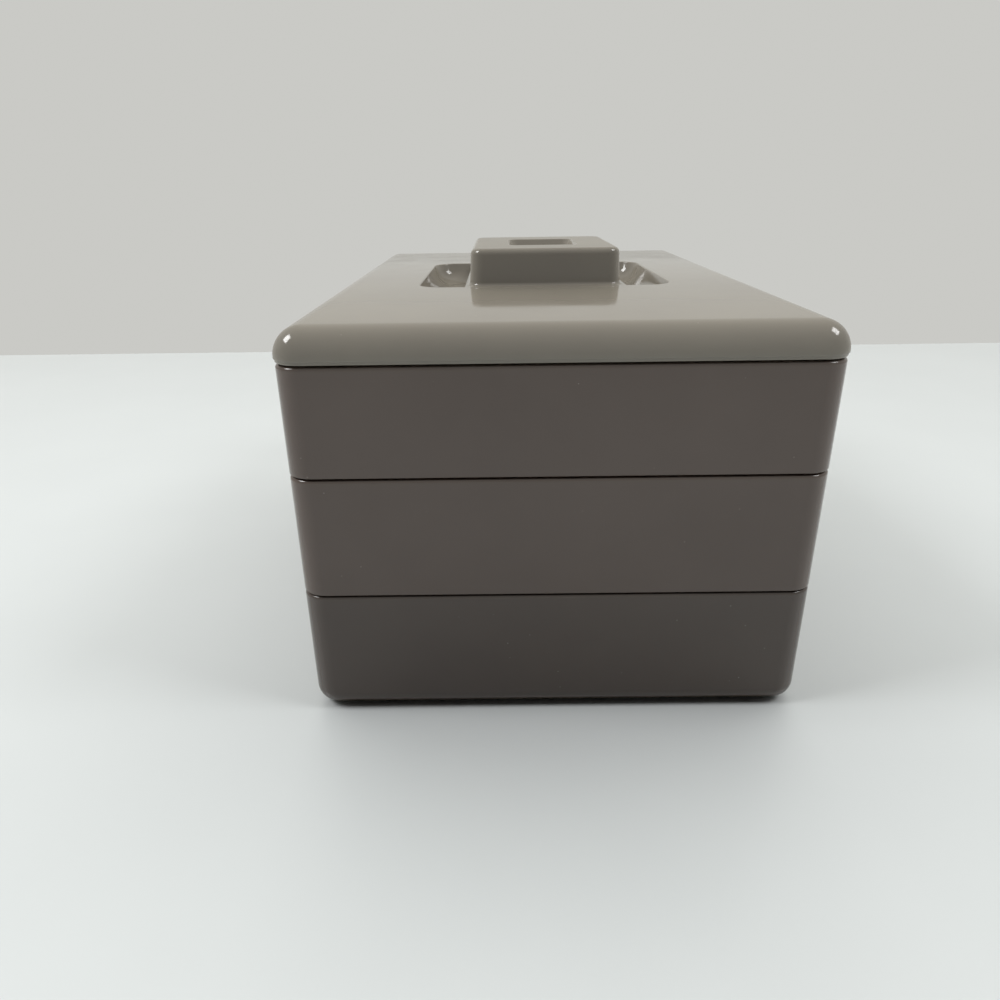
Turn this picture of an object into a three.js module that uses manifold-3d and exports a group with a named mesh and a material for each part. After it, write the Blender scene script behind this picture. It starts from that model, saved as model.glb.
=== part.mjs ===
// Stacking jewelry organizer: three moulded trays that stand on one another under a lid
// with a block handle. Millimetres, +Z up, origin on the table under the middle of the box.
// X runs along the narrow end that faces the viewer, Y runs from front to back.
import * as THREE from 'three';
import { mergeVertices } from 'three/addons/utils/BufferGeometryUtils.js';
import Module from 'manifold-3d';

// Driving dimensions of the whole box
const boxWidth = 132; // outside of the uppermost rim, along X
const boxDepth = 200; // outside of the uppermost rim, along Y
const boxCorner = 6.5; // radius of the upright corners
const wallLean = 0.006; // inset of the walls for each millimetre further down
const wall = 2.4;
const trayFloor = 2.2;
const insideFillet = 1; // where a tray's walls meet its floor
const seatGap = 0.05; // between a piece and the rim that it stands on

// Heights of the stacked pieces
const footLift = 0.3; // how far the feet hold the base off the table
const baseHeight = 35.15;
const middleHeight = 31.9;
const topHeight = 27.3;
const lidHeight = 8.35;

// Edges that the eye sees as the lines between the pieces
const shadowGap = 0.3; // dark line between a rim and the piece that stands on its tongue
const tongue = 0.9; // thickness of the inner part of a rim, which carries the piece above
const rimEdge = 0.9; // rounding of a rim's outer part
const seatEdge = 0.35; // rounding of the lower edge above that line
const baseEdge = 5.2; // rounding of the lowest tray's underside

// Rib under each upper piece that drops inside the rim below it
const ribHeight = 3;
const ribThickness = 1.6;
const ribClearance = 0.4;

// Lid
const lidOverhang = 0.3; // how far the lid stands out past the rim
const lidBand = 0.8; // plain band, flush with the trays, under the lid's overhang
const lidTuck = 0.3; // rounding of the overhang's lower edge
const lidEdge = 7.2; // rounding of its upper edge, as far as the lid is high enough for it
const lidThickness = 2.2;

// Block handle, with a shallow pocket in its top
const handleWidth = 46;
const handleDepth = 54;
const handleY = -3; // its middle lies a little nearer to the front
const handleHeight = 10.9;
const handleCorner = 4;
const handleEdge = 1.8;
const handleLean = 0.04; // the block narrows by this much on each side per millimetre up
const pocketWidth = 21.5;
const pocketDepth = 26.7;
const pocketSink = 2.5;
const pocketCorner = 2.5;
const pocketSlope = 0.6; // run of the pocket's walls for each millimetre of depth

// Finger wells beside the handle
const wellLedge = 1.5; // strip of lid between the handle and a well
const wellWidth = 14.5;
const wellDepth = 74;
const wellSink = 7;
const wellSlope = 0.3; // run of the well's walls for each millimetre of depth
const wellCorner = 8;
const wellLead = 0.5; // how far the wells begin in front of the handle
const wellFillet = 4; // where a well's walls meet its floor

// Rubber feet, set in shallow sockets
const footRadius = 5;
const footThickness = 1.1;
const footInset = 15; // from the outside of the box to a foot's centre
const footEdge = 0.2;
const socketGap = 0.2; // round a foot, in its socket

// Dividers moulded into the trays
const dividerThickness = 1.8;
const dividerDrop = 6; // how far they stop below the rim
const dividerRoot = 0.6; // how far they run into the floor and the walls
const baseDividerX = 20; // where the base's only divider stands
const middleRowCount = 3;
const ringBayDepth = 92; // front to back, inside the top tray

// Flocked pads and ring rolls
const padThickness = 1.8;
const padGap = 0.3; // between a pad and what is round and under it
const padCorner = 2;
const padEdge = 0.5;
const rollCount = 7;
const rollHeight = 13;
const rollGap = 0.6; // between neighbouring ring rolls

// How finely the round stretches are divided
const cornerSteps = 6;
const edgeSteps = 5;
const fineEdgeSteps = 2; // for edges of about a millimetre
const fineEdge = 1.5;
const throughCut = 1; // how far a cutting shape runs past the face that it opens
const leastCorner = 0.01; // radius that stands in for a sharp corner
const leastUpright = 0.05; // upright stretch that is left between two rounded edges

const wasm = await Module();
wasm.setup();

// Stations of the stack
const base = { bottom: footLift, top: footLift + baseHeight };
const middle = { bottom: base.top, top: base.top + middleHeight };
const top = { bottom: middle.top, top: middle.top + topHeight };
const lid = { bottom: top.top, top: top.top + lidHeight };
const handleTop = lid.top + handleHeight;
const wellFloor = lid.top - wellSink;

// Materials, one for each finish
function finish(color, roughness) {
  return new THREE.MeshStandardMaterial({ color, roughness, metalness: 0 });
}
const glossyTaupe = finish(0x6f6861, 0.12);
const blackRubber = finish(0x1b1a19, 0.75);
const flock = finish(0x4a4038, 0.95);

// Points of a rounded rectangle at one height, counter-clockwise from above
function outline({ x = 0, y = 0, width, depth, corner }, z) {
  const radius = Math.max(leastCorner, Math.min(corner, width / 2, depth / 2));
  const points = [];
  for (let quarter = 0; quarter < 4; quarter += 1) {
    const signX = quarter === 0 || quarter === 3 ? 1 : -1;
    const signY = quarter < 2 ? 1 : -1;
    for (let step = 0; step <= cornerSteps; step += 1) {
      const angle = (quarter + step / cornerSteps) * Math.PI / 2;
      points.push(
        x + signX * (width / 2 - radius) + radius * Math.cos(angle),
        y + signY * (depth / 2 - radius) + radius * Math.sin(angle),
        z,
      );
    }
  }
  return points;
}

// A closed skin over a stack of outlines that all have the same number of points
function loft(rings) {
  const count = rings[0].length / 3;
  const index = [];
  for (let ring = 0; ring + 1 < rings.length; ring += 1) {
    for (let i = 0; i < count; i += 1) {
      const a = ring * count + i;
      const b = ring * count + (i + 1) % count;
      index.push(a, b, b + count, a, b + count, a + count);
    }
  }
  const last = (rings.length - 1) * count;
  for (let i = 1; i + 1 < count; i += 1) {
    index.push(0, i + 1, i, last, last + i, last + i + 1);
  }
  const geometry = new THREE.BufferGeometry();
  geometry.setAttribute('position', new THREE.Float32BufferAttribute(rings.flat(), 3));
  geometry.setIndex(index);
  return geometry;
}

// A plan made smaller by the same amount on every side
function shrunk(plan, by) {
  return { ...plan, width: plan.width - 2 * by, depth: plan.depth - 2 * by, corner: plan.corner - by };
}

// The angles at which a rounded edge gets a ring. A sharp edge needs only one.
function quarterTurn(edge) {
  if (edge === 0) {
    return [0];
  }
  const steps = edge > fineEdge ? edgeSteps : fineEdgeSteps;
  return Array.from({ length: steps + 1 }, (_, step) => step / steps * Math.PI / 2);
}

// A rounded block between two heights. Its plan is given at the top, its walls lean inwards
// on the way down, and its lower and upper edges may be rounded.
function block(plan, bottom, up, { lowerEdge = 0, upperEdge = 0, lean = 0 } = {}) {
  const rings = [];
  const addRing = (z, edgeInset) => {
    const inset = edgeInset + lean * (up - z);
    rings.push(outline(shrunk(plan, inset), z));
  };
  for (const a of quarterTurn(lowerEdge)) {
    addRing(bottom + lowerEdge * (1 - Math.cos(a)), lowerEdge * (1 - Math.sin(a)));
  }
  for (const a of quarterTurn(upperEdge)) {
    addRing(up - upperEdge * (1 - Math.sin(a)), upperEdge * (1 - Math.cos(a)));
  }
  return loft(rings);
}

// Booleans
function solid(geometry) {
  const bare = geometry.clone();
  bare.deleteAttribute('normal');
  bare.deleteAttribute('uv');
  const merged = mergeVertices(bare);
  return new wasm.Manifold(new wasm.Mesh({
    numProp: 3,
    vertProperties: new Float32Array(merged.attributes.position.array),
    triVerts: new Uint32Array(merged.index.array),
  }));
}

function geometryOf(manifold) {
  const mesh = manifold.getMesh();
  const geometry = new THREE.BufferGeometry();
  geometry.setAttribute('position', new THREE.BufferAttribute(mesh.vertProperties, 3));
  geometry.setIndex(new THREE.BufferAttribute(mesh.triVerts, 1));
  return geometry;
}

// Plans that follow the leaning walls
function outside(z) {
  const inset = wallLean * (top.top - z);
  return { width: boxWidth - 2 * inset, depth: boxDepth - 2 * inset, corner: boxCorner - inset };
}

function inside(z) {
  return shrunk(outside(z), wall);
}

// The rib ring under a piece that stands on a rim at height seat
function locatingRib(seat, rootTop) {
  const ribPlan = shrunk(inside(seat - ribHeight), ribClearance);
  const foot = seat - ribHeight;
  const hollow = block(shrunk(ribPlan, ribThickness), foot - throughCut, rootTop + throughCut);
  return solid(block(ribPlan, foot, rootTop)).subtract(solid(hollow));
}

// A tray: a leaning box with a rounded rim and a tongue inside it, hollowed out, with its dividers
// standing on the floor
function trayShell(station, lowerEdge, dividers) {
  const bottom = station.bottom + (station === base ? 0 : seatGap);
  const edges = { lowerEdge, upperEdge: rimEdge, lean: wallLean };
  const shoulder = station.top - shadowGap;
  const tonguePlan = shrunk(outside(station.top), wall - tongue);
  const body = solid(block(outside(shoulder), bottom, shoulder, edges))
    .add(solid(block(tonguePlan, shoulder - rimEdge, station.top, { lean: wallLean })));
  const cutTop = station.top + throughCut;
  const hollowEdges = { lowerEdge: insideFillet, lean: wallLean };
  const hollow = block(inside(cutTop), station.bottom + trayFloor, cutTop, hollowEdges);
  let shell = body.subtract(solid(hollow));
  const root = station.bottom + trayFloor - dividerRoot;
  const height = station.top - dividerDrop - root;
  for (const { x = 0, y = 0, width, depth } of dividers) {
    const plate = new THREE.BoxGeometry(width, depth, height);
    plate.translate(x, y, root + height / 2);
    shell = shell.add(solid(plate));
  }
  if (station !== base) {
    shell = shell.add(locatingRib(station.bottom, station.bottom + trayFloor / 2));
  }
  return shell;
}

// Dividers, as plans
function dividerAcross(station, y) {
  return { y, width: inside(station.bottom).width + 2 * dividerRoot, depth: dividerThickness };
}

function dividerAlong(x, front, back) {
  return { x, y: (front + back) / 2, width: dividerThickness, depth: back - front };
}

// The lid: a rounded shell with two finger wells, a hollow block handle and a locating rib
function lidShell() {
  const bandPlan = outside(lid.bottom);
  const lidPlan = shrunk(bandPlan, -lidOverhang);
  const bandTop = lid.bottom + lidBand;
  const ceiling = lid.top - lidThickness;
  const round = Math.min(lidEdge, lid.top - bandTop - lidTuck - leastUpright);
  const hollowPlan = shrunk(bandPlan, wall);
  const hollow = block(hollowPlan, lid.bottom - throughCut, ceiling, { upperEdge: round - wall });
  let shell = solid(block(lidPlan, bandTop, lid.top, { lowerEdge: lidTuck, upperEdge: round }))
    .add(solid(block(bandPlan, lid.bottom + seatGap, bandTop + lidTuck, { lowerEdge: seatEdge })))
    .subtract(solid(hollow));

  // A well slopes in on three sides. On the fourth an upright cheek closes it, a narrow ledge away
  // from the handle, so the sloping shapes are trimmed at the middle of that cheek.
  const handleFoot = wellFloor - lidThickness;
  const wellMiddle = handleY - handleDepth / 2 - wellLead + wellDepth / 2;
  for (const side of [-1, 1]) {
    const cheekX = side * (handleWidth / 2 + wellLedge - wall / 2);
    const reach = wellWidth + wall / 2;
    const well = { x: cheekX, y: wellMiddle, width: 2 * reach, depth: wellDepth, corner: wellCorner };
    const mouth = { ...shrunk(well, -wellSlope * throughCut), corner: wellCorner };
    const cutEdges = { lean: wellSlope, lowerEdge: wellFillet };
    const cut = block(mouth, wellFloor, lid.top + throughCut, cutEdges);
    const bossPlan = shrunk(well, -lidThickness);
    const boss = block(bossPlan, handleFoot, lid.top - lidThickness / 2, { lean: wellSlope });
    const outerHalf = new THREE.BoxGeometry(bossPlan.width, bossPlan.depth, 2 * handleTop);
    outerHalf.translate(cheekX + side * bossPlan.width / 2, wellMiddle, 0);
    const cheek = new THREE.BoxGeometry(wall, bossPlan.depth, lid.top - handleFoot);
    cheek.translate(cheekX, wellMiddle, (lid.top + handleFoot) / 2);
    const trim = solid(outerHalf);
    shell = shell.add(solid(boss).intersect(trim))
      .subtract(solid(cut).intersect(trim))
      .add(solid(cheek));
  }

  const handleOutline = { y: handleY, width: handleWidth, depth: handleDepth, corner: handleCorner };
  const handlePlan = shrunk(handleOutline, handleLean * handleHeight);
  const handle = block(handlePlan, handleFoot, handleTop, { upperEdge: handleEdge, lean: -handleLean });
  const corePlan = shrunk(handlePlan, wall);
  const core = block(corePlan, handleFoot - throughCut, handleTop - wall, { lean: -handleLean });
  const pocket = { y: handleY, width: pocketWidth, depth: pocketDepth, corner: pocketCorner };
  const pocketFloor = handleTop - pocketSink;
  const pocketBox = block(shrunk(pocket, -wall), pocketFloor - wall, handleTop - wall / 2);
  const pocketMouth = { ...shrunk(pocket, -pocketSlope * throughCut), corner: pocketCorner };
  const pocketCut = block(pocketMouth, pocketFloor, handleTop + throughCut, { lean: pocketSlope });
  shell = shell.add(solid(handle))
    .subtract(solid(core))
    .add(solid(pocketBox))
    .subtract(solid(pocketCut));

  return geometryOf(shell.add(locatingRib(lid.bottom, ceiling)));
}

// Bays between dividers: each is the clear floor between four limits, in the tray's own floor height
function bay(station, x0, x1, y0, y1) {
  const floorZ = station.bottom + trayFloor;
  const room = inside(floorZ);
  const half = dividerThickness / 2;
  return {
    floorZ,
    x0: x0 === null ? -room.width / 2 : x0 + half,
    x1: x1 === null ? room.width / 2 : x1 - half,
    y0: y0 === null ? -room.depth / 2 : y0 + half,
    y1: y1 === null ? room.depth / 2 : y1 - half,
  };
}

function padPlan({ x0, x1, y0, y1 }) {
  const inset = insideFillet + padGap;
  return {
    x: (x0 + x1) / 2,
    y: (y0 + y1) / 2,
    width: x1 - x0 - 2 * inset,
    depth: y1 - y0 - 2 * inset,
    corner: padCorner,
  };
}

const organizer = new THREE.Group();

function place(name, geometry, material) {
  const mesh = new THREE.Mesh(geometry, material);
  mesh.name = name;
  organizer.add(mesh);
  return mesh;
}

function placePad(name, room) {
  const low = room.floorZ + padGap;
  place(name, block(padPlan(room), low, low + padThickness, { upperEdge: padEdge }), flock);
}

// Base tray: one wide and one narrow bay along its length, on four rubber feet in sockets
const baseReach = inside(base.bottom).depth / 2 + dividerRoot;
let baseShell = trayShell(base, baseEdge, [dividerAlong(baseDividerX, -baseReach, baseReach)]);
const footOutline = { width: 2 * footRadius, depth: 2 * footRadius, corner: footRadius };
const footX = outside(base.bottom).width / 2 - footInset;
const footY = outside(base.bottom).depth / 2 - footInset;
for (const [end, y] of [['front', -footY], ['rear', footY]]) {
  for (const [side, x] of [['left', -footX], ['right', footX]]) {
    const footPlan = { ...footOutline, x, y };
    place(`foot_${end}_${side}`, block(footPlan, 0, footThickness, { lowerEdge: footEdge }), blackRubber);
    const socket = block(shrunk(footPlan, -socketGap), base.bottom - throughCut, footThickness);
    baseShell = baseShell.subtract(solid(socket));
  }
}
place('base_tray', geometryOf(baseShell), glossyTaupe);
placePad('base_pad_wide', bay(base, null, baseDividerX, null, null));
placePad('base_pad_narrow', bay(base, baseDividerX, null, null, null));

// Middle tray: six equal bays in three rows
const middleInside = inside(middle.bottom + trayFloor);
const middleReach = middleInside.depth / 2 + dividerRoot;
const crossY = middleInside.depth / middleRowCount / 2;
const middleRibs = [
  dividerAlong(0, -middleReach, middleReach),
  dividerAcross(middle, -crossY),
  dividerAcross(middle, crossY),
];
place('middle_tray', geometryOf(trayShell(middle, seatEdge, middleRibs)), glossyTaupe);
const middleRows = [['front', null, -crossY], ['centre', -crossY, crossY], ['rear', crossY, null]];
for (const [row, y0, y1] of middleRows) {
  placePad(`middle_pad_${row}_left`, bay(middle, null, 0, y0, y1));
  placePad(`middle_pad_${row}_right`, bay(middle, 0, null, y0, y1));
}

// Top tray: a ring bay in front and two bays for earrings behind it
const topInside = inside(top.bottom + trayFloor);
const ringDividerY = -topInside.depth / 2 + ringBayDepth + dividerThickness / 2;
const topRibs = [
  dividerAcross(top, ringDividerY),
  dividerAlong(0, ringDividerY, topInside.depth / 2 + dividerRoot),
];
place('top_tray', geometryOf(trayShell(top, seatEdge, topRibs)), glossyTaupe);
placePad('top_pad_left', bay(top, null, 0, ringDividerY, null));
placePad('top_pad_right', bay(top, 0, null, ringDividerY, null));
const ringBay = bay(top, null, null, null, ringDividerY);
placePad('ring_bed', ringBay);

// Ring rolls: a row of round-topped foam bars lying across the ring bed
const bed = padPlan(ringBay);
const rollPitch = bed.depth / rollCount;
const rollRadius = (rollPitch - rollGap) / 2;
const rollFoot = ringBay.floorZ + padGap + padThickness + padGap;
const rollSection = new THREE.Shape();
rollSection.moveTo(-rollRadius, 0);
rollSection.lineTo(rollRadius, 0);
rollSection.absarc(0, rollHeight - rollRadius, rollRadius, 0, Math.PI);
const rollAxes = new THREE.Matrix4().makeBasis(
  new THREE.Vector3(0, 1, 0),
  new THREE.Vector3(0, 0, 1),
  new THREE.Vector3(1, 0, 0),
);
const rollLength = { depth: bed.width, bevelEnabled: false, curveSegments: cornerSteps };
for (let i = 0; i < rollCount; i += 1) {
  const roll = new THREE.ExtrudeGeometry(rollSection, rollLength);
  roll.applyMatrix4(rollAxes);
  const y = bed.y - bed.depth / 2 + (i + 0.5) * rollPitch;
  place(`ring_roll_${i + 1}`, roll, flock).position.set(bed.x - bed.width / 2, y, rollFoot);
}

place('lid', lidShell(), glossyTaupe);

export default organizer;
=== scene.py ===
# %% [markdown]
# # A stacking jewelry organizer
# Three moulded trays stand on one another under a lid with a block handle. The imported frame
# already holds every piece at its real size, in metres, so this lesson only gives each piece the
# surface that the eye expects: soft moulded edges, glossy plastic, flocked pads, and a camera and
# light like the picture's. Each cell makes one piece or one finish.

# %% Load the frame and keep its size
import math

import bmesh
import bpy
from mathutils import Matrix, Vector


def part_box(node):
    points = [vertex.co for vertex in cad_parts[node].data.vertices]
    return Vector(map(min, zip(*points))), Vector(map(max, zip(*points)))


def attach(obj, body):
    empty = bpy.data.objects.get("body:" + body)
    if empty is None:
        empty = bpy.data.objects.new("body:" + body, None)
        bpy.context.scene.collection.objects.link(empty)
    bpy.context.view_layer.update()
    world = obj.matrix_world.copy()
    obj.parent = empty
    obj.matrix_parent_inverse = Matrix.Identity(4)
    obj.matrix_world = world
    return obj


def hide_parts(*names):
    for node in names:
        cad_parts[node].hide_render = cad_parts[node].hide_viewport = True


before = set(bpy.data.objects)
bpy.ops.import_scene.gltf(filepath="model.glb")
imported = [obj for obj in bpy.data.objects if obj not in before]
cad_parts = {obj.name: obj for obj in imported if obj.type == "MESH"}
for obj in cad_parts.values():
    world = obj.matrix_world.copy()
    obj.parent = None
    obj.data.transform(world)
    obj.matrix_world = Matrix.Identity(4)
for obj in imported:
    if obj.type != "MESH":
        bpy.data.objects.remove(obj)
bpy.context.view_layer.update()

scene = bpy.context.scene
MM = 0.001

# %% [markdown]
# ## The camera
# The picture was taken from close by with a short lens, so the box narrows quickly towards the
# back and towards the table. A close camera and a short lens repeat that. A Track To constraint
# could aim the camera, but it would keep it level. Three turns, each about one axis, also give
# the slight tilt: a little to the side, down to the box, and round the line of sight.

# %% Camera
CAMERA_PLACE = Vector((-13.4, -267.1, 131.8)) * MM
CAMERA_TURN = math.radians(0.324)
CAMERA_DIP = math.radians(22.751)
CAMERA_TILT = math.radians(-0.787)
CAMERA_NEAR = 10 * MM
CAMERA_LENS = 27.135  # millimetres, as is the sensor
SENSOR_WIDTH = 36

camera_data = bpy.data.cameras.new("close_camera")
camera_data.lens = CAMERA_LENS
camera_data.sensor_width = SENSOR_WIDTH
camera_data.clip_start = CAMERA_NEAR
camera = bpy.data.objects.new("close_camera", camera_data)
camera.matrix_world = (
    Matrix.Translation(CAMERA_PLACE)
    @ Matrix.Rotation(CAMERA_TURN, 4, "Z")
    @ Matrix.Rotation(math.pi / 2 - CAMERA_DIP, 4, "X")
    @ Matrix.Rotation(CAMERA_TILT, 4, "Z")
)
scene.collection.objects.link(camera)
scene.camera = camera
scene.view_settings.view_transform = "Standard"
print("camera height in mm:", round(camera.location.z / MM, 1))

# %% [markdown]
# ## A word on materials
# Every finish below is a tree of nodes on one Principled shader. Colours are written the way a
# paint chart gives them, as sRGB hex values, and turned to linear light by one function. Patterns
# are sized in millimetres, so a helper turns a spacing into the texture's scale. A Mix node has
# the same socket names for numbers and for colours, so its sockets go by their places instead.

# %% Helpers for materials
MIX_FACTOR, MIX_NUMBER_A, MIX_NUMBER_B, MIX_COLOUR_A, MIX_COLOUR_B = 0, 2, 3, 6, 7
MIXED_NUMBER, MIXED_COLOUR = 0, 2


def linear(hex_colour):
    """An sRGB hex colour as linear red, green, blue and alpha."""
    parts = [int(hex_colour[i : i + 2], 16) / 255 for i in (1, 3, 5)]
    return [p / 12.92 if p <= 0.04045 else ((p + 0.055) / 1.055) ** 2.4 for p in parts] + [1]


def per(spacing_mm):
    """The scale of a texture whose features repeat about every so many millimetres."""
    return 1 / (spacing_mm * MM)


def add(tree, kind, settings=None, links=None):
    """Add one node, set its sockets and properties, and link its inputs."""
    node = tree.nodes.new("ShaderNode" + kind)
    for name, value in (settings or {}).items():
        if isinstance(name, int) or name in node.inputs:
            node.inputs[name].default_value = value
        else:
            setattr(node, name, value)
    for name, source in (links or {}).items():
        tree.links.new(source, node.inputs[name])
    return node


def two_tones(tree, factor, tones, spread=(0, 1)):
    """A colour that runs from the first tone to the second as the factor crosses the spread."""
    ramp = add(tree, "ValToRGB", links={"Fac": factor})
    for stop, place, tone in zip(ramp.color_ramp.elements, spread, tones):
        stop.position = place
        stop.color = linear(tone)
    return ramp.outputs["Color"]


def new_material(name, **sockets):
    """A material with the given values on its shader, and the coordinates that its patterns read."""
    material = bpy.data.materials.new(name)
    material.use_nodes = True
    tree = material.node_tree
    shader = tree.nodes["Principled BSDF"]
    for socket, value in sockets.items():
        shader.inputs[socket.replace("_", " ")].default_value = value
    place = add(tree, "TexCoord").outputs["Object"]
    return material, tree, shader, place


# %% [markdown]
# ## Moulded polystyrene
# The trays and the lid are injection-moulded polystyrene, coloured right through in taupe and
# polished by the mould. The eye reads it by its clear reflections: flat faces mirror the room at
# a low angle and look much darker straight on. Three faint patterns keep it from looking like
# glass: pigment that drifts over a few centimetres, the slow waviness that a wall takes as it
# cools, and a few specks of dust that catch the light. The waves are far too low to model, so a
# Bump node makes them. Each piece has its own pair of tones on its taupe: the lid's paler tones
# are partly painted light, and the darker tones of the trays and of the base, the darkest, are
# partly painted shade where less light falls. A wide lid also bows a little along its length.
# That is too slight to see in its outline, but it shortens what the lid mirrors, so the lid's own
# version of the finish adds a bow to the waves. Fingers have rubbed the top of its handle, which
# is satin rather than glossy.

# %% Taupe polystyrene
STYRENE_IOR = 1.59
# The lid's paler pair is partly painted light; the trays' and the base's darker pairs are partly painted
# shade.
LID_TONES_WITH_PAINTED_LIGHT = ("#847e74", "#8a8479")
TRAY_TONES_WITH_PAINTED_SHADE = ("#594b43", "#5f5149")
BASE_TONES_WITH_PAINTED_SHADE = ("#493d36", "#4f433b")
NOISE_SPREAD = (0.3, 0.7)  # the part of its range that a noise mostly fills
PIGMENT_DRIFT_MM = 40
DUST_TONE = "#b4b0a8"
DUST_SPACING_MM = 4.6
DUST_SIZE_MM = 0.17
DUST_COVER = 0.6  # how much plastic a speck hides at its middle, and how rough it is there
SMUDGE_MM = 11
CLEAN_ROUGHNESS = 0.07
SMUDGED_ROUGHNESS = 0.12
RUBBED_ROUGHNESS = 0.35
RUBBED_FADE = 0.3 * MM
NEVER_RUBBED = 1.0  # metres, higher than any piece
COOLING_WAVE_MM = 26
COOLING_WAVE_DEPTH = 0.05 * MM
LID_BOW_RADIUS = 1.45  # metres


def taupe_polystyrene(name, tones, bow=0.0, rubbed_above=NEVER_RUBBED):
    """The finish between two tones.

    The bow along Y is given as a curvature. Above a height the gloss is rubbed down to satin."""
    material, tree, shader, place = new_material(name, IOR=STYRENE_IOR)
    axes = add(tree, "SeparateXYZ", links={"Vector": place}).outputs

    pigment = add(tree, "TexNoise", {"Scale": per(PIGMENT_DRIFT_MM), "Detail": 3}, {"Vector": place})
    taupe = two_tones(tree, pigment.outputs["Fac"], tones, NOISE_SPREAD)
    specks = add(tree, "TexVoronoi", {"Scale": per(DUST_SPACING_MM)}, {"Vector": place})
    cover = {"From Max": DUST_SIZE_MM / DUST_SPACING_MM, "To Min": DUST_COVER, "To Max": 0}
    dust = add(tree, "MapRange", cover, {"Value": specks.outputs["Distance"]}).outputs["Result"]
    over = {"data_type": "RGBA", MIX_COLOUR_B: linear(DUST_TONE)}
    dusty = add(tree, "Mix", over, {MIX_FACTOR: dust, MIX_COLOUR_A: taupe})
    tree.links.new(dusty.outputs[MIXED_COLOUR], shader.inputs["Base Color"])

    smudges = add(tree, "TexNoise", {"Scale": per(SMUDGE_MM), "Detail": 4}, {"Vector": place})
    smear = {"From Min": NOISE_SPREAD[0], "From Max": NOISE_SPREAD[1]}
    smear.update({"To Min": CLEAN_ROUGHNESS, "To Max": SMUDGED_ROUGHNESS})
    rough = add(tree, "MapRange", smear, {"Value": smudges.outputs["Fac"]}).outputs["Result"]
    touch = {"From Min": rubbed_above, "From Max": rubbed_above + RUBBED_FADE, "To Max": RUBBED_ROUGHNESS}
    rubbed = add(tree, "MapRange", touch, {"Value": axes["Z"]}).outputs["Result"]
    for rougher in (rubbed, dust):
        rough = add(tree, "Math", {"operation": "MAXIMUM"}, {0: rough, 1: rougher}).outputs["Value"]
    tree.links.new(rough, shader.inputs["Roughness"])

    waves = add(tree, "TexNoise", {"Scale": per(COOLING_WAVE_MM), "Detail": 1}, {"Vector": place})
    squared = add(tree, "Math", {"operation": "MULTIPLY"}, {0: axes["Y"], 1: axes["Y"]})
    bowed = add(tree, "Math", {"operation": "MULTIPLY", 1: -bow / 2}, {0: squared.outputs["Value"]})
    wave = {"operation": "MULTIPLY_ADD", 1: COOLING_WAVE_DEPTH}
    height = add(tree, "Math", wave, {0: waves.outputs["Fac"], 2: bowed.outputs["Value"]})
    # The height is in metres already, so the bump's own distance is 1.
    cooled = add(tree, "Bump", {"Distance": 1}, {"Height": height.outputs["Value"]})
    tree.links.new(cooled.outputs["Normal"], shader.inputs["Normal"])
    return material


handle_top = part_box("lid")[1].z
# One taupe in three copies: painted light on the lid, painted shade on the trays and on the base.
tray_styrene_with_painted_shade = taupe_polystyrene("taupe_polystyrene", TRAY_TONES_WITH_PAINTED_SHADE)
base_styrene_with_painted_shade = taupe_polystyrene("taupe_polystyrene_base_painted_shade", BASE_TONES_WITH_PAINTED_SHADE)
lid_styrene_with_painted_light = taupe_polystyrene(
    "taupe_polystyrene_lid_painted_light", LID_TONES_WITH_PAINTED_LIGHT, bow=1 / LID_BOW_RADIUS, rubbed_above=handle_top - RUBBED_FADE
)
print("made", tray_styrene_with_painted_shade.name, base_styrene_with_painted_shade.name, "and", lid_styrene_with_painted_light.name)

# %% [markdown]
# ## Flocked foam
# Flock is a coat of short fibres shot onto glue, so it looks matt and soft, with a pale bloom at
# low angles. Hair could draw every fibre, but the shader's sheen gives that bloom at no cost, and
# a fine bump gives the grain. Real fibres are about half a millimetre apart, which is too fine to
# show here, so the grain is drawn at twice that.

# %% Flock
FLOCK_TONES = ("#3d342d", "#5f5449")
FLOCK_SPREAD = (0.1, 0.45)
FLOCK_BLOOM = "#c9b8a6"
NAP_DRIFT_MM = 18
FIBRE_GRAIN_MM = 1.0
FIBRE_HEIGHT = 0.25 * MM

flock, tree, shader, place = new_material(
    "flocked_foam",
    Roughness=0.95,
    Sheen_Weight=0.6,
    Sheen_Roughness=0.45,
    Sheen_Tint=linear(FLOCK_BLOOM),
    Specular_IOR_Level=0.2,
)
nap = add(tree, "TexNoise", {"Scale": per(NAP_DRIFT_MM), "Detail": 3}, {"Vector": place})
fibres = add(tree, "TexNoise", {"Scale": per(FIBRE_GRAIN_MM), "Detail": 2}, {"Vector": place})
brushed = add(tree, "Math", {"operation": "MULTIPLY"}, {0: nap.outputs["Fac"], 1: fibres.outputs["Fac"]})
velvet = two_tones(tree, brushed.outputs["Value"], FLOCK_TONES, FLOCK_SPREAD)
tree.links.new(velvet, shader.inputs["Base Color"])
pile = add(tree, "Bump", {"Distance": FIBRE_HEIGHT}, {"Height": fibres.outputs["Fac"]})
tree.links.new(pile.outputs["Normal"], shader.inputs["Normal"])
print("made", flock.name)

# %% [markdown]
# ## Rubber
# The feet are black rubber with a dull skin. They hardly show while the box stands, so one noise
# is enough: it varies the black a little and roughens the surface.

# %% Black rubber
RUBBER_TONES = ("#151413", "#221f1d")
RUBBER_GRAIN_MM = 0.8
RUBBER_GRAIN_HEIGHT = 0.05 * MM

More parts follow.
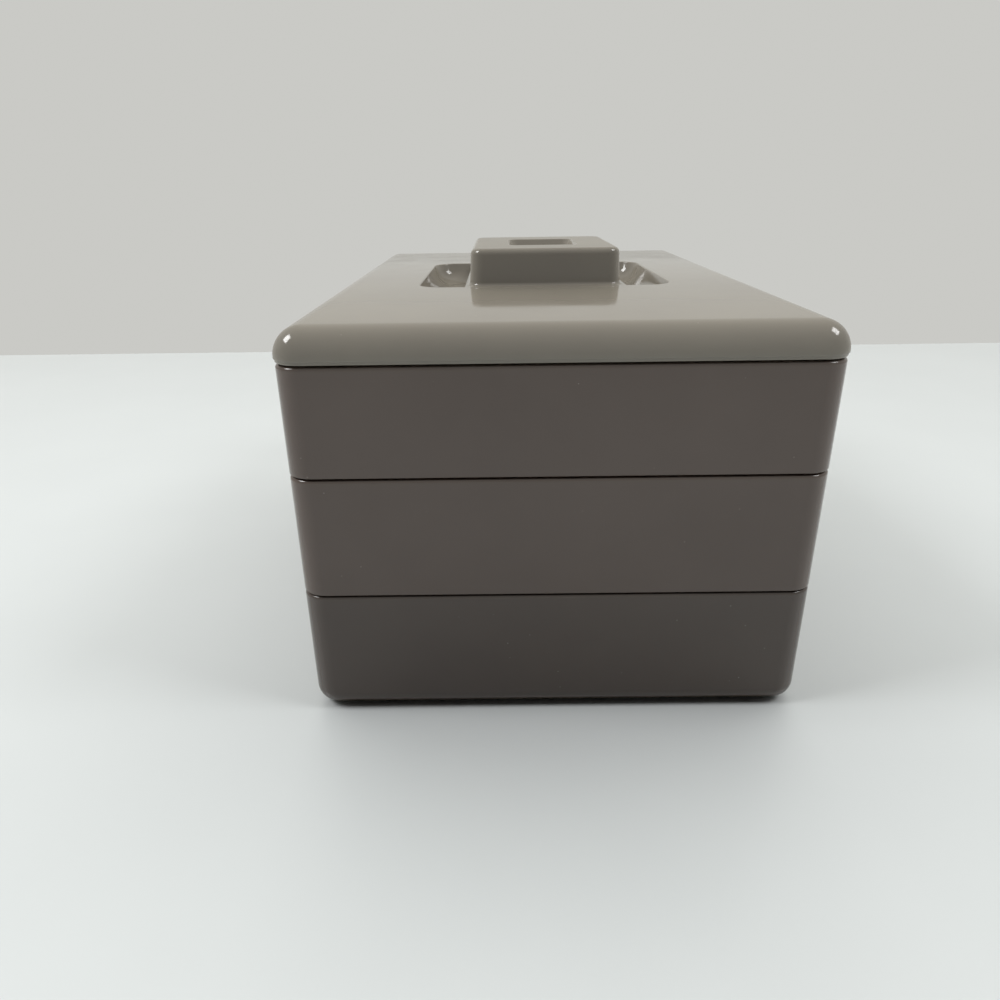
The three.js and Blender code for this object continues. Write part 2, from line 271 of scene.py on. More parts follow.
rubber, tree, shader, place = new_material("black_rubber", Roughness=0.7, IOR=1.52)
grain = add(tree, "TexNoise", {"Scale": per(RUBBER_GRAIN_MM), "Detail": 2}, {"Vector": place})
tree.links.new(two_tones(tree, grain.outputs["Fac"], RUBBER_TONES), shader.inputs["Base Color"])
skin = add(tree, "Bump", {"Distance": RUBBER_GRAIN_HEIGHT}, {"Height": grain.outputs["Fac"]})
tree.links.new(skin.outputs["Normal"], shader.inputs["Normal"])
print("made", rubber.name)

# %% [markdown]
# ## Blocks
# Every moulded piece here starts as a block with round upright edges. A curve could be drawn and
# extruded instead, but a stretched cube with four bevelled edges is simpler, and its two end faces
# are ready to be shaped further. The other helpers find an end face and fit its outline to a size.

# %% Helpers for blocks
CORNER_STEPS = 12
TINY = 1e-7


def stretched_cube(size, middle):
    """A cube stretched to a size and moved to a middle."""
    shape = bmesh.new()
    bmesh.ops.create_cube(shape, size=1)
    bmesh.ops.scale(shape, vec=size, verts=shape.verts)
    bmesh.ops.translate(shape, vec=middle, verts=shape.verts)
    return shape


def round_edges(shape, edges, radius, steps):
    """Round some edges of a shape."""
    bmesh.ops.bevel(
        shape,
        geom=edges,
        offset=radius,
        offset_type="OFFSET",
        segments=steps,
        profile=0.5,
        affect="EDGES",
        material=-1,
    )


def rounded_block(width, depth, low, high, corner):
    """A block about the Z axis with its four upright edges rounded."""
    shape = stretched_cube((width, depth, high - low), (0, 0, (low + high) / 2))
    upright = [e for e in shape.edges if abs(e.verts[0].co.z - e.verts[1].co.z) > TINY]
    round_edges(shape, upright, corner, CORNER_STEPS)
    return shape


def end_face(shape, up):
    """The highest face of a block, or the lowest where up is -1."""
    return max(shape.faces, key=lambda face: up * face.calc_center_median().z)


def reach(face, axis):
    """The lowest and highest place of a face's outline along one axis."""
    places = [v.co[axis] for v in face.verts]
    return min(places), max(places)


def fit_outline(shape, face, x_range, y_range):
    """Scale and move an end face's outline so that it fills a range along X and one along Y."""
    old = [reach(face, 0), reach(face, 1)]
    new = [x_range, y_range]
    factors = [(n[1] - n[0]) / (o[1] - o[0]) for o, n in zip(old, new)]
    shifts = [(sum(n) - sum(o)) / 2 for o, n in zip(old, new)]
    middle = face.calc_center_bounds()
    bmesh.ops.scale(shape, vec=(*factors, 1), space=Matrix.Translation(-middle), verts=face.verts)
    bmesh.ops.translate(shape, vec=(*shifts, 0), verts=face.verts)


def draw_in(shape, face, amount):
    """Move an end face's outline inwards by the same amount on every side."""
    ranges = [(low + amount, high - amount) for low, high in (reach(face, 0), reach(face, 1))]
    fit_outline(shape, face, *ranges)


# %% [markdown]
# ## Walking a section
# A moulded tray is one section carried round a rounded rectangle. It could be swept along a curve,
# but a block is already closed, so here its end face is inset and moved, step by step, along the
# section: over the rim, down the inside and onto the floor. Each step adds one ring of faces, so
# a round edge is just a few small steps along an arc.

# %% Helpers for sections
def quarter_turns(steps):
    """The angles of a quarter circle, without its start."""
    return [math.pi / 2 * step / steps for step in range(1, steps + 1)]


def round_over(inset, height, radius, rise, steps):
    """Points of a quarter circle that leaves an upright wall and ends level, further in."""
    turns = quarter_turns(steps)
    return [(inset + radius * (1 - math.cos(a)), height + rise * radius * math.sin(a)) for a in turns]


def walk(shape, face, path, corner):
    """Carry an end face along points of (inset, height), with a ring of new faces for each step.

    An even inset works while the outline still has some of its corner radius left. Past that the
    outline is extruded and scaled, which keeps its corners round."""
    inset = 0
    for next_inset, height in path:
        step_in = next_inset - inset
        if step_in > TINY and next_inset < corner:
            bmesh.ops.inset_region(
                shape, faces=[face], thickness=step_in, use_even_offset=True, use_boundary=True
            )
        else:
            face = bmesh.ops.extrude_discrete_faces(shape, faces=[face])["faces"][0]
            draw_in(shape, face, step_in)
        rise = height - face.calc_center_bounds().z
        bmesh.ops.translate(shape, vec=(0, 0, rise), verts=face.verts)
        inset = next_inset


# %% [markdown]
# ## From shape to piece
# A bmesh is only a shape, and it shows once it is the mesh of an object. Parts of one moulding are
# joined or cut with a Boolean modifier, and its result is kept as the new mesh. A mould leaves no
# edge quite sharp, so a Bevel modifier can take off the last of them. Plain smooth shading would
# make flat plastic look puffed up, so a Weighted Normal modifier keeps the flat faces flat.

# %% Helpers for pieces
SHARP_ANGLE = math.radians(35)
MOULD_EDGE = 0.2 * MM
MOULD_EDGE_STEPS = 2


def new_piece(name, shape):
    """An object that holds a finished bmesh."""
    mesh = bpy.data.meshes.new(name)
    shape.to_mesh(mesh)
    shape.free()
    piece = bpy.data.objects.new(name, mesh)
    scene.collection.objects.link(piece)
    return piece


def combine(piece, other, how):
    """Join another piece's shape to this one, or cut it out, and remove the other."""
    step = piece.modifiers.new(how, "BOOLEAN")
    step.operation = how
    step.solver = "MANIFOLD"
    step.object = other
    seen = bpy.context.evaluated_depsgraph_get()
    made = bpy.data.meshes.new_from_object(piece.evaluated_get(seen))
    piece.modifiers.clear()
    piece.data = made
    bpy.data.objects.remove(other)


def keep_flat(piece):
    """Keep the flat faces flat in the shading, up to the edges that are sharp."""
    shading = piece.modifiers.new("flat_faces", "WEIGHTED_NORMAL")
    shading.keep_sharp = True


def shade(piece):
    """Smooth shading for a piece whose edges are already round."""
    piece.data.shade_smooth()
    piece.data.set_sharp_from_angle(angle=SHARP_ANGLE)
    keep_flat(piece)


def soften(piece):
    """Smooth shading for a piece whose last sharp edges still have to be rounded."""
    piece.data.shade_smooth()
    edges = piece.modifiers.new("small_edges", "BEVEL")
    edges.width = MOULD_EDGE
    edges.segments = MOULD_EDGE_STEPS
    edges.limit_method = "ANGLE"
    edges.angle_limit = SHARP_ANGLE
    edges.use_clamp_overlap = False
    keep_flat(piece)


def dress(piece, material, body, node):
    """Give a piece its finish, the body that it rides on, and the node that it stands for."""
    piece.data.materials.clear()
    piece.data.materials.append(material)
    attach(piece, body)
    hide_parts(node)


# %% [markdown]
# ## The section of a tray
# The three trays share one section and differ in height. A rim rounds over to a thin tongue, and
# the next piece stands on that tongue, which leaves the dark line that runs round the box. Under
# the two upper trays a rib drops inside the rim below, so the stack can't slide. One function
# makes all three, because a change to the section then shows in every tray.

# %% Tray section
BOX_CORNER = 6.5 * MM
WALL = 2.4 * MM
WALL_LEAN = 0.006
FLOOR = 2.2 * MM
INSIDE_FILLET = 1 * MM
INSIDE_STEPS = 5
SHADOW_GAP = 0.3 * MM
TONGUE = 0.9 * MM
RIM_EDGE = 0.9 * MM
RIM_STEPS = 6
BASE_EDGE = 5.2 * MM
BASE_STEPS = 10
SEAT_EDGE = 0.35 * MM
RIB_HEIGHT = 3 * MM
RIB_THICKNESS = 1.6 * MM
RIB_CLEARANCE = 0.4 * MM
RIB_EDGE = 0.4 * MM
SMALL_STEPS = 3  # for the edges of seats and ribs


def rib_under(inset, low):
    """The rib that drops inside the rim below, as points of (inset, height)."""
    outer = inset + WALL + RIB_CLEARANCE
    inner = outer + RIB_THICKNESS
    foot = low - RIB_HEIGHT
    points = [(outer, low), (outer, foot + RIB_EDGE)]
    points += round_over(outer, foot + RIB_EDGE, RIB_EDGE, -1, SMALL_STEPS)
    points.append((inner - RIB_EDGE, foot))
    for a in quarter_turns(SMALL_STEPS):
        points.append((inner - RIB_EDGE * (1 - math.sin(a)), foot + RIB_EDGE * (1 - math.cos(a))))
    return points


def tray_shell(node, low, has_rib):
    """One tray without its dividers. A tray with a rib stands on a rim, and the base on its feet."""
    lower_edge, lower_steps = (SEAT_EDGE, SMALL_STEPS) if has_rib else (BASE_EDGE, BASE_STEPS)
    far_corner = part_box(node)[1]
    shoulder = far_corner.z - SHADOW_GAP
    wall_low, wall_high = low + lower_edge, shoulder - RIM_EDGE
    shape = rounded_block(2 * far_corner.x, 2 * far_corner.y, wall_low, wall_high, BOX_CORNER)
    upper, lower = end_face(shape, 1), end_face(shape, -1)
    draw_in(shape, lower, WALL_LEAN * (wall_high - wall_low))

    fillet_top = low + FLOOR + INSIDE_FILLET
    foot_inset = WALL + WALL_LEAN * (wall_high - fillet_top)
    rim = round_over(0, wall_high, RIM_EDGE, 1, RIM_STEPS)
    rim += [(WALL - TONGUE, shoulder), (WALL - TONGUE, far_corner.z), (WALL, far_corner.z)]
    rim.append((foot_inset, fillet_top))
    rim += round_over(foot_inset, fillet_top, INSIDE_FILLET, -1, INSIDE_STEPS)
    walk(shape, upper, rim, BOX_CORNER)

    underside = round_over(0, wall_low, lower_edge, -1, lower_steps)
    if has_rib:
        rib = rib_under(0, low)
        underside += rib + [(rib[-1][0], low)]
    walk(shape, lower, underside, BOX_CORNER)
    return new_piece("moulded_" + node, shape)


# %% [markdown]
# ## Dividers
# A divider is a thin upright plate in the tray's own moulding, with a rounded top. It is a
# stretched cube whose two long upper edges are bevelled. Its place could be typed in, but reading
# it from the pads on either side keeps it in the gap that the frame leaves.

# %% Helpers for dividers
DIVIDER_THICKNESS = 1.8 * MM
DIVIDER_DROP = 6 * MM
DIVIDER_EDGE = 0.7 * MM
DIVIDER_STEPS = 5


def upper_edges(shape, axis, above):
    """The edges that run along one axis and lie above a height."""
    edges = []
    for edge in shape.edges:
        start, end = edge.verts[0].co, edge.verts[1].co
        if min(start.z, end.z) > above and abs(start[axis] - end[axis]) > TINY:
            edges.append(edge)
    return edges


def divider(x_range, y_range, low, high):
    """One divider plate with a rounded top."""
    size = (x_range[1] - x_range[0], y_range[1] - y_range[0], high - low)
    middle = (sum(x_range) / 2, sum(y_range) / 2, (low + high) / 2)
    shape = stretched_cube(size, middle)
    long_axis = 0 if size[0] > size[1] else 1
    round_edges(shape, upper_edges(shape, long_axis, middle[2]), DIVIDER_EDGE, DIVIDER_STEPS)
    return new_piece("divider", shape)


def between(node, next_node, axis):
    """The range of the divider that stands midway between two pads."""
    middle = (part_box(node)[1][axis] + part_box(next_node)[0][axis]) / 2
    return middle - DIVIDER_THICKNESS / 2, middle + DIVIDER_THICKNESS / 2


# %% [markdown]
# ## Building the stack
# Each tray is made from its section, then its dividers are joined to it and its last sharp edges
# are softened. The base has one divider and a round socket for each foot. The middle tray has six
# bays, and the top tray a wide bay for rings and two small ones.

# %% Build the trays
SEAT_GAP = 0.05 * MM
FOOT_SIDES = 48
SOCKET_GAP = 0.2 * MM


def foot_socket(node):
    """The round cut in the base's underside that a foot sits in, from below up to the foot's top."""
    low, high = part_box(node)
    radius = (high.x - low.x) / 2 + SOCKET_GAP
    shape = bmesh.new()
    bmesh.ops.create_cone(
        shape, cap_ends=True, segments=FOOT_SIDES, radius1=radius, radius2=radius, depth=2 * high.z
    )
    bmesh.ops.translate(shape, vec=((low.x + high.x) / 2, (low.y + high.y) / 2, 0), verts=shape.verts)
    return new_piece("socket", shape)


def build_tray(node, body, finish, low, has_rib, dividers, feet=()):
    """A tray with its dividers and foot sockets, dressed and set on its body."""
    tray = tray_shell(node, low, has_rib)
    divider_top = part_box(node)[1].z - DIVIDER_DROP
    for x_range, y_range in dividers:
        combine(tray, divider(x_range, y_range, low + FLOOR / 2, divider_top), "UNION")
    for foot in feet:
        combine(tray, foot_socket(foot), "DIFFERENCE")
    soften(tray)
    dress(tray, finish, body, node)
    print(tray.name, "has", len(tray.data.polygons), "faces before its edges are softened")


base_low, base_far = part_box("base_tray")[0].z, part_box("base_tray")[1]
middle_low = base_far.z + SEAT_GAP
top_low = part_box("middle_tray")[1].z + SEAT_GAP
inner_x, inner_y = base_far.x - WALL, base_far.y - WALL
across, along = (-inner_x, inner_x), (-inner_y, inner_y)
foot_nodes = [f"foot_{end}_{side}" for end in ("front", "rear") for side in ("left", "right")]

base_dividers = [(between("base_pad_wide", "base_pad_narrow", 0), along)]
build_tray("base_tray", "base", base_styrene_with_painted_shade, base_low, False, base_dividers, foot_nodes)
middle_dividers = [
    (between("middle_pad_front_left", "middle_pad_front_right", 0), along),
    (across, between("middle_pad_front_left", "middle_pad_centre_left", 1)),
    (across, between("middle_pad_centre_left", "middle_pad_rear_left", 1)),
]
build_tray("middle_tray", "middle", tray_styrene_with_painted_shade, middle_low, True, middle_dividers)
ring_divider = between("ring_bed", "top_pad_left", 1)
top_dividers = [
    (across, ring_divider),
    (between("top_pad_left", "top_pad_right", 0), (sum(ring_divider) / 2, inner_y)),
]
build_tray("top_tray", "top", tray_styrene_with_painted_shade, top_low, True, top_dividers)

# %% [markdown]
# ## The lid
# The lid bulges slightly past the trays, tucks in to a narrow band and closes the shadow line.
# Its upper edge is one large soft round. It starts as the ring of the bulge, which is walked up
# over the edge and, from the other end, down the tuck, round the band and the rib and up under
# the ceiling. A cut across its middle gives the wide flat faces an edge for what is added later.

# %% Lid shell
LID_OVERHANG = 0.3 * MM
LID_BAND = 0.8 * MM
LID_TUCK_STEPS = 5
LID_EDGE = 7.2 * MM
LID_EDGE_STEPS = 14
LID_THICKNESS = 2.2 * MM
CEILING_ROUND = 4 * MM
CEILING_STEPS = 5
HANDLE_HEIGHT = 10.9 * MM


def whole(shape):
    """All of a shape's vertices, edges and faces."""
    return shape.verts[:] + shape.edges[:] + shape.faces[:]


def split_across(shape):
    """Cut every face of a shape at its middle, so that holes made there later lie on an edge."""
    bmesh.ops.bisect_plane(shape, geom=whole(shape), plane_co=(0, 0, 0), plane_no=(0, 1, 0))


lid_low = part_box("top_tray")[1].z + SEAT_GAP
lid_flat = handle_top - HANDLE_HEIGHT
lid_corner = BOX_CORNER + LID_OVERHANG
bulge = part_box("lid")[1]
bulge_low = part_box("top_tray")[1].z + LID_BAND + LID_OVERHANG
edge_start = lid_flat - LID_EDGE
lid_shape = rounded_block(2 * bulge.x, 2 * bulge.y, bulge_low, edge_start, lid_corner)
upper_edge = round_over(0, edge_start, LID_EDGE, 1, LID_EDGE_STEPS)
walk(lid_shape, end_face(lid_shape, 1), upper_edge, lid_corner)

seat_start = lid_low + SEAT_EDGE
underside = round_over(0, bulge_low, LID_OVERHANG, -1, LID_TUCK_STEPS)
underside.append((LID_OVERHANG, seat_start))
underside += round_over(LID_OVERHANG, seat_start, SEAT_EDGE, -1, SMALL_STEPS)
underside += rib_under(LID_OVERHANG, lid_low)
rib_inset = underside[-1][0]
ceiling_start = lid_flat - LID_THICKNESS - CEILING_ROUND
underside.append((rib_inset, ceiling_start))
underside += round_over(rib_inset, ceiling_start, CEILING_ROUND, 1, CEILING_STEPS)
walk(lid_shape, end_face(lid_shape, -1), underside, lid_corner)
split_across(lid_shape)
lid = new_piece("moulded_lid", lid_shape)
print("lid flat at", round(lid_flat / MM, 2), "mm, band from", round(lid_low / MM, 2))

# %% [markdown]
# ## The handle
# The handle is a block that narrows a little on the way up, so that it leaves the mould. Its top
# edge is rounded, and its foot runs out into the lid in a small hollow curve. A bevel can't widen
# a shape, so the foot is walked outwards along its curve, with negative insets.

# %% Handle
HANDLE_WIDTH = 46 * MM
HANDLE_DEPTH = 54 * MM
HANDLE_Y = -3 * MM
HANDLE_CORNER = 4 * MM
HANDLE_EDGE = 1.8 * MM
HANDLE_FOOT = 1.1 * MM
HANDLE_LEAN = 0.04
ROUND_STEPS = 6


def handle_block():
    """The grip, solid, down to the middle of the lid's thickness."""
    low, high = lid_flat + HANDLE_FOOT, handle_top - HANDLE_EDGE
    shape = rounded_block(HANDLE_WIDTH, HANDLE_DEPTH, low, high, HANDLE_CORNER)
    upper, lower = end_face(shape, 1), end_face(shape, -1)
    draw_in(shape, upper, HANDLE_LEAN * (high - low))
    walk(shape, upper, round_over(0, high, HANDLE_EDGE, 1, ROUND_STEPS), HANDLE_CORNER)
    turns = quarter_turns(ROUND_STEPS)
    foot = [(HANDLE_FOOT * (math.cos(a) - 1), low - HANDLE_FOOT * math.sin(a)) for a in turns]
    foot.append((-HANDLE_FOOT, lid_flat - LID_THICKNESS / 2))
    walk(shape, lower, foot, HANDLE_CORNER)
    bmesh.ops.translate(shape, vec=(0, HANDLE_Y, 0), verts=shape.verts)
    split_across(shape)
    return new_piece("handle", shape)


# %% [markdown]
# ## Shapes that sink in
# The handle's top has a shallow pocket, and on each side of it, a narrow ledge away, a well lets
# the fingers reach the grip. A well slopes on three sides and drops straight down on the fourth.
# Edges could be bevelled after a cut, but here the cutting shapes carry the rounded rim and the
# rounded floor in them, so nothing needs to be rounded afterwards.

# %% Helpers for pocket and wells
WELL_CORNER = 8 * MM
WELL_SLOPE = 0.3
CLEAR_CUT = 1 * MM  # how far a cutter runs past the face that it opens


def pit_rings(sink, rim, fillet):
    """Rings over a rounded rim, down a wall and round into a level floor."""
    turns = quarter_turns(ROUND_STEPS)
    rings = [(rim, 0)] + [(rim * (1 - math.sin(a)), rim * (1 - math.cos(a))) for a in turns]
    rings.append((0, sink - fillet))
    return rings + [(fillet * (math.cos(a) - 1), sink - fillet * (1 - math.sin(a))) for a in turns]


def sunk_shape(x_range, y_range, top, corner, rings, slope):
    """A block that goes down ring by ring from a mouth with the given ranges.

    Each ring is (how far it lies outside the mouth, how deep it lies). The slope tells how far the
    walls lean in for each bit of depth."""
    out = rings[0][0]
    size = [end - start + 2 * out for start, end in (x_range, y_range)]
    shape = rounded_block(*size, top, top + CLEAR_CUT, corner + out)
    middle = (sum(x_range) / 2, sum(y_range) / 2, 0)
    bmesh.ops.translate(shape, vec=middle, verts=shape.verts)
    face = end_face(shape, -1)
    for out, depth in rings[1:]:
        face = bmesh.ops.extrude_discrete_faces(shape, faces=[face])["faces"][0]
        lean = slope * depth
        ranges = [(start - out + lean, end + out - lean) for start, end in (x_range, y_range)]
        fit_outline(shape, face, *ranges)
        drop = top - depth - face.calc_center_bounds().z
        bmesh.ops.translate(shape, vec=(0, 0, drop), verts=face.verts)
    return shape


def beside_handle(side, start, width, y_range, top, rings):
    """A sunk shape on the left or the right of the handle.

    It is made twice as wide as it has to be and cut in half, so that it slopes on three sides and
    is upright, with square corners, on the side of the handle."""
    middle = side * start
    x_range = (middle - width, middle + width)
    shape = sunk_shape(x_range, y_range, top, WELL_CORNER, rings, WELL_SLOPE)
    cut = bmesh.ops.bisect_plane(
        shape, geom=whole(shape), plane_co=(middle, 0, 0), plane_no=(side, 0, 0), clear_inner=True
    )
    open_edges = [part for part in cut["geom_cut"] if isinstance(part, bmesh.types.BMEdge)]
    bmesh.ops.edgeloop_fill(shape, edges=open_edges)
    bmesh.ops.recalc_face_normals(shape, faces=shape.faces)
    return new_piece("beside_handle", shape)


# %% [markdown]
# ## Putting the lid together
# What adds plastic comes first: under the lid a boss round each well, a wall thicker than the
# well, and then the handle. The cuts follow: the hollow inside the handle, the pocket and the two
# wells. In this order each cut goes through everything that was joined before it.

# %% Join and cut the lid
POCKET_WIDTH = 21.5 * MM
POCKET_DEPTH = 26.7 * MM
POCKET_SINK = 2.5 * MM
POCKET_SLOPE = 0.6
POCKET_CORNER = 2.5 * MM
POCKET_RIM = 0.3 * MM
POCKET_FILLET = 0.5 * MM
WELL_LEDGE = 1.5 * MM
WELL_WIDTH = 14.5 * MM
WELL_DEPTH = 74 * MM
WELL_SINK = 7 * MM
WELL_LEAD = 0.5 * MM
WELL_RIM = 0.35 * MM
WELL_FILLET = 4.5 * MM

well_start = HANDLE_WIDTH / 2 + WELL_LEDGE
well_near = HANDLE_Y - HANDLE_DEPTH / 2 - WELL_LEAD
well_y = (well_near, well_near + WELL_DEPTH)
boss_start = HANDLE_WIDTH / 2 - 2 * WALL
boss_width = well_start + WELL_WIDTH + LID_THICKNESS - boss_start
boss_y = (well_y[0] - LID_THICKNESS, well_y[1] + LID_THICKNESS)
boss_top = lid_flat - LID_THICKNESS / 2
boss_sink = WELL_SINK + LID_THICKNESS / 2
boss_floor = pit_rings(boss_sink, 0, WELL_FILLET)[-ROUND_STEPS:]
boss_rings = [(0, 0), (0, boss_sink - WELL_FILLET)] + boss_floor
for side in (-1, 1):
    boss = beside_handle(side, boss_start, boss_width, boss_y, boss_top, boss_rings)
    combine(lid, boss, "UNION")
combine(lid, handle_block(), "UNION")

core_size = (HANDLE_WIDTH - 2 * WALL, HANDLE_DEPTH - 2 * WALL)
core_low = lid_flat - WELL_SINK - LID_THICKNESS - CLEAR_CUT
core = rounded_block(*core_size, core_low, handle_top - POCKET_SINK - WALL, HANDLE_CORNER)
bmesh.ops.translate(core, vec=(0, HANDLE_Y, 0), verts=core.verts)
combine(lid, new_piece("core", core), "DIFFERENCE")

pocket_x = (-POCKET_WIDTH / 2, POCKET_WIDTH / 2)
pocket_y = (HANDLE_Y - POCKET_DEPTH / 2, HANDLE_Y + POCKET_DEPTH / 2)
pocket_rings = pit_rings(POCKET_SINK, POCKET_RIM, POCKET_FILLET)
pocket = sunk_shape(pocket_x, pocket_y, handle_top, POCKET_CORNER, pocket_rings, POCKET_SLOPE)
combine(lid, new_piece("pocket", pocket), "DIFFERENCE")

well_rings = pit_rings(WELL_SINK, WELL_RIM, WELL_FILLET)
for side in (-1, 1):
    well = beside_handle(side, well_start, WELL_WIDTH, well_y, lid_flat, well_rings)
    combine(lid, well, "DIFFERENCE")
shade(lid)
dress(lid, lid_styrene_with_painted_light, "lid", "lid")
print(lid.name, "has", len(lid.data.polygons), "faces")

# %% [markdown]
# ## The feet
# Four small rubber discs sit in the base's underside. They hardly show, but they lift the box by a
# hair and give it the dark line at the table. A cylinder would do for the side, but a circle that
# is walked down also gets a rounded lower edge and a slightly dished underside.

# %% Rubber feet
FOOT_EDGE = 0.2 * MM
FOOT_EDGE_STEPS = 4
FOOT_DISH = 0.15 * MM
DISH_START, DISH_END = 1 / 3, 1 / 2  # how far in from the edge the dish slopes, in radii


def rubber_foot(node):
    """One disc with a rounded lower edge and a slightly dished underside."""
    low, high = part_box(node)
    radius = (high.x - low.x) / 2
    shape = bmesh.new()
    disc = bmesh.ops.create_circle(shape, cap_ends=True, segments=FOOT_SIDES, radius=radius)
    middle = (low + high) / 2
    bmesh.ops.translate(shape, vec=(middle.x, middle.y, high.z), verts=disc["verts"])
    edge_start = low.z + FOOT_EDGE
    path = [(0, edge_start)] + round_over(0, edge_start, FOOT_EDGE, -1, FOOT_EDGE_STEPS)
    path += [(radius * DISH_START, low.z), (radius * DISH_END, low.z + FOOT_DISH)]
    cap = shape.faces[:][0]
    bmesh.ops.duplicate(shape, geom=[cap])
    walk(shape, cap, path, radius)
    bmesh.ops.remove_doubles(shape, verts=shape.verts, dist=TINY)
    bmesh.ops.recalc_face_normals(shape, faces=shape.faces)
    return new_piece("rubber_" + node, shape)


for node in foot_nodes:
    foot = rubber_foot(node)
    shade(foot)
    dress(foot, rubber, "base", node)
print("made", len(foot_nodes), "feet")

# %% [markdown]
# ## Pads
# The bays are lined with thin foam pads under a coat of flock. A soft cushion would be swollen
# with Blender's Cloth, but a thin cut board keeps its shape, so it is modelled directly: a rounded
# block whose top is walked inwards in a low crown.

# %% Helper for pads
PAD_EDGE = 0.5 * MM
PAD_EDGE_STEPS = 4
PAD_CORNER = 2 * MM
PAD_CROWN = 0.25 * MM
PAD_SHOULDER = 3 * MM  # how far in from the rounded edge most of the crown is reached
PAD_SHOULDER_DROP = PAD_CROWN / 4  # how far that is still below the top
PAD_LEVEL = 7.5 * MM  # how far in the pad is level


def flocked_pad(node):
    """A thin pad with a rounded edge and a low crown, in the space of its node."""
    low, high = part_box(node)
    middle = (low + high) / 2
    edge_start = high.z - PAD_CROWN - PAD_EDGE
    shape = rounded_block(high.x - low.x, high.y - low.y, low.z, edge_start, PAD_CORNER)
    bmesh.ops.translate(shape, vec=(middle.x, middle.y, 0), verts=shape.verts)
    crown = round_over(0, edge_start, PAD_EDGE, 1, PAD_EDGE_STEPS)
    crown.append((PAD_EDGE + PAD_SHOULDER, high.z - PAD_SHOULDER_DROP))
    crown.append((PAD_EDGE + PAD_LEVEL, high.z))
    walk(shape, end_face(shape, 1), crown, PAD_CORNER)
    return new_piece("flocked_" + node, shape)


# %% [markdown]
# ## Ring rolls
# The front bay of the top tray holds a row of round-topped foam rolls, which grip rings between
# them. A roll could be half a cylinder, but its sides are upright below. So it is a block whose
# two long upper edges are bevelled until they meet, with its ends drawn in where the cover is glued.

# %% Pads and rolls in their bays
ROLL_FULLNESS = 0.98  # how much of the roll's half width its rounded top takes
ROLL_STEPS = 12
ROLL_END = 1.2 * MM
ROLL_END_STEPS = 4
FACING = 0.9  # how squarely a face looks along the roll to count as one of its ends


def flocked_roll(node):
    """A round-topped roll with soft ends, in the space of its node."""
    low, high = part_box(node)
    size, middle = high - low, (low + high) / 2
    shape = stretched_cube(size, middle)
    round_edges(shape, upper_edges(shape, 0, middle.z), size.y / 2 * ROLL_FULLNESS, ROLL_STEPS)
    ends = [face for face in shape.faces if abs(face.normal.x) > FACING]
    round_edges(shape, [edge for face in ends for edge in face.edges], ROLL_END, ROLL_END_STEPS)
    return new_piece("flocked_" + node, shape)


pad_nodes = [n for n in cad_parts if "pad" in n or n == "ring_bed"]
roll_nodes = [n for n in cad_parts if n.startswith("ring_roll")]
body_of_pad = {"base": "base", "middle": "middle", "top": "top", "ring": "top"}
for node in sorted(pad_nodes + roll_nodes):
    pad = flocked_roll(node) if node in roll_nodes else flocked_pad(node)
    shade(pad)
    dress(pad, flock, body_of_pad[node.split("_")[0]], node)
print("made", len(pad_nodes), "pads and", len(roll_nodes), "rolls")

# %% [markdown]
# ## The table
# The box stands on a pale laminate table with a slight gloss, whose far edge shows some way behind
# the box. A modelled table would add nothing that is seen, so one flat face is enough. It runs far
# out to the sides and to the front, so that only its far edge is in the picture, and a faint
# mottle keeps it from looking blank.

# %% Table
TABLE_SIZE = 40  # metres
TABLE_BACK = 0.385  # metres behind the middle of the box
TABLE_TONES = ("#cbcfd0", "#d0d4d5")
MOTTLE_MM = 60

table_shape = bmesh.new()
bmesh.ops.create_grid(table_shape, x_segments=1, y_segments=1, size=TABLE_SIZE / 2)
bmesh.ops.translate(table_shape, vec=(0, TABLE_BACK - TABLE_SIZE / 2, 0), verts=table_shape.verts)
table = new_piece("table", table_shape)
laminate, tree, shader, place = new_material("pale_laminate", Roughness=0.28, IOR=1.45)
mottle = add(tree, "TexNoise", {"Scale": per(MOTTLE_MM), "Detail": 3}, {"Vector": place})
tree.links.new(two_tones(tree, mottle.outputs["Fac"], TABLE_TONES), shader.inputs["Base Color"])
table.data.materials.append(laminate)
print("table ends", round(TABLE_BACK / MM), "mm behind the middle of the box")

# %% [markdown]
# ## The room
# Gloss shows what it mirrors, and a matt colour takes light from all round, so the room does two
# jobs. A glow from behind lights the matt colours, and it fades towards the front, which leaves
# the front of the box darker than its top. One even backdrop is what the camera sees and what the
# gloss mirrors. A picture of a real room could do both, but a Light Path node needs no file: it
# tells camera, mirrored and refracted rays from the rest.

# %% Room
ROOM_TONE = "#fdfdf8"
BACKDROP_LEVEL = 0.6
GLOW_LEVEL = 1.86
GLOW_FADE = 0.5  # the glow fades from this far behind to this far in front, of 1 each way

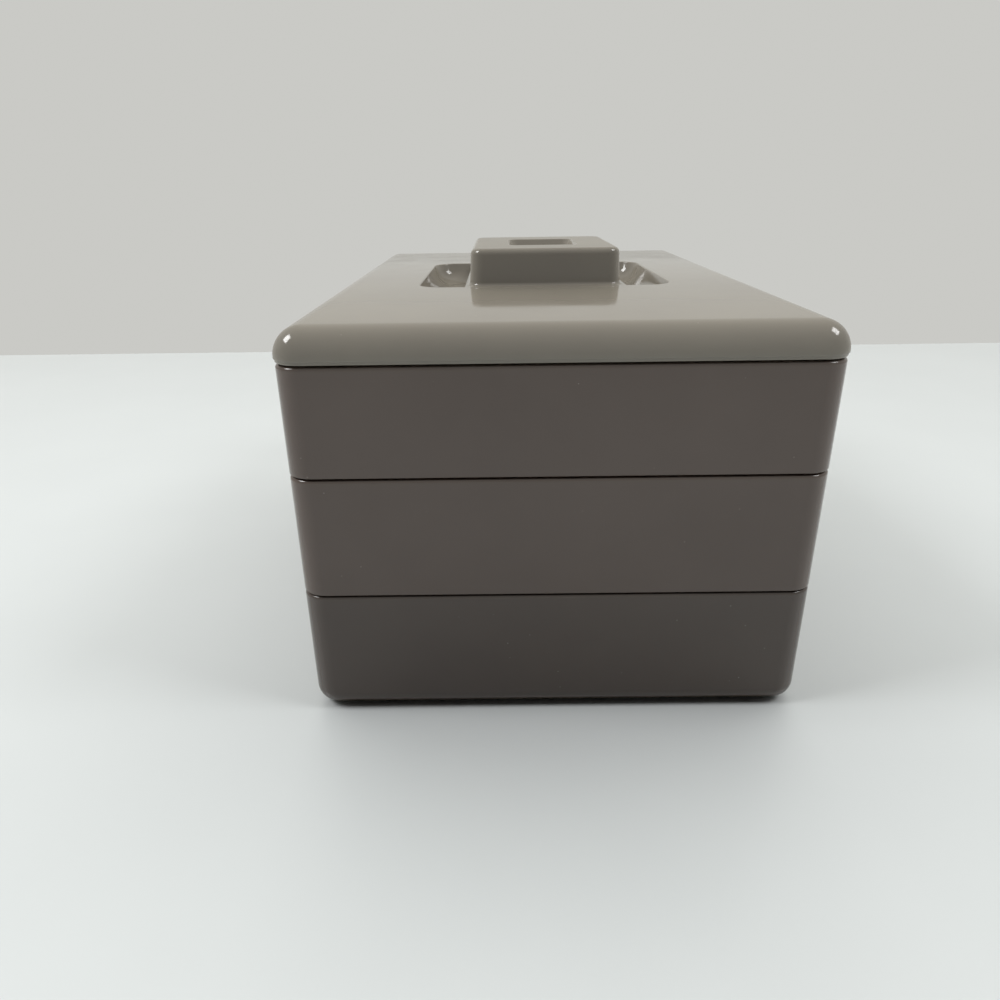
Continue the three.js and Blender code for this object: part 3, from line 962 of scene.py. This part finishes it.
room = bpy.data.worlds.new("pale_room")
room.use_nodes = True
tree = room.node_tree
towards = add(tree, "TexCoord").outputs["Generated"]
backwards = add(tree, "SeparateXYZ", links={"Vector": towards}).outputs["Y"]
fade = {"interpolation_type": "SMOOTHSTEP", "From Min": -GLOW_FADE, "From Max": GLOW_FADE}
fade["To Max"] = GLOW_LEVEL
glow = add(tree, "MapRange", fade, {"Value": backwards}).outputs["Result"]

rays = add(tree, "LightPath").outputs
seen = rays["Is Camera Ray"]
for kind in ("Is Glossy Ray", "Is Transmission Ray"):
    seen = add(tree, "Math", {"operation": "MAXIMUM"}, {0: seen, 1: rays[kind]}).outputs["Value"]
even = {"data_type": "FLOAT", MIX_NUMBER_B: BACKDROP_LEVEL}
level = add(tree, "Mix", even, {MIX_FACTOR: seen, MIX_NUMBER_A: glow})
background = tree.nodes["Background"]
background.inputs["Color"].default_value = linear(ROOM_TONE)
tree.links.new(level.outputs[MIXED_NUMBER], background.inputs["Strength"])
scene.world = room
print("made", room.name)

# %% [markdown]
# ## The lamps
# Two soft square lamps, high on the left and the right, give the small bright glints on the round
# corners and a soft shadow on the table. A lamp's watts spread over its face, so they are worked
# out from its size and from how bright the face should be. The camera doesn't see the lamps.

# %% Lamps
LAMP_SIZE = 0.36  # metres, as is the distance
LAMP_DISTANCE = 1.1
LAMP_TARGET = Vector((0, 0, 60 * MM))
LAMP_DIRECTIONS = {"left_lamp": (-0.673, -0.173, 0.719), "right_lamp": (0.648, -0.21, 0.732)}
LAMP_RADIANCES = {"left_lamp": 12, "right_lamp": 8}

for name, direction in LAMP_DIRECTIONS.items():
    data = bpy.data.lights.new(name, "AREA")
    data.shape = "SQUARE"
    data.size = LAMP_SIZE
    data.energy = LAMP_RADIANCES[name] * math.pi * LAMP_SIZE * LAMP_SIZE
    lamp = bpy.data.objects.new(name, data)
    towards_lamp = Vector(direction).normalized()
    lamp.location = LAMP_TARGET + towards_lamp * LAMP_DISTANCE
    lamp.rotation_mode = "QUATERNION"
    lamp.rotation_quaternion = (-towards_lamp).to_track_quat("-Z", "Y")
    lamp.visible_camera = False
    scene.collection.objects.link(lamp)
    print(name, "has", round(data.energy, 2), "watts")
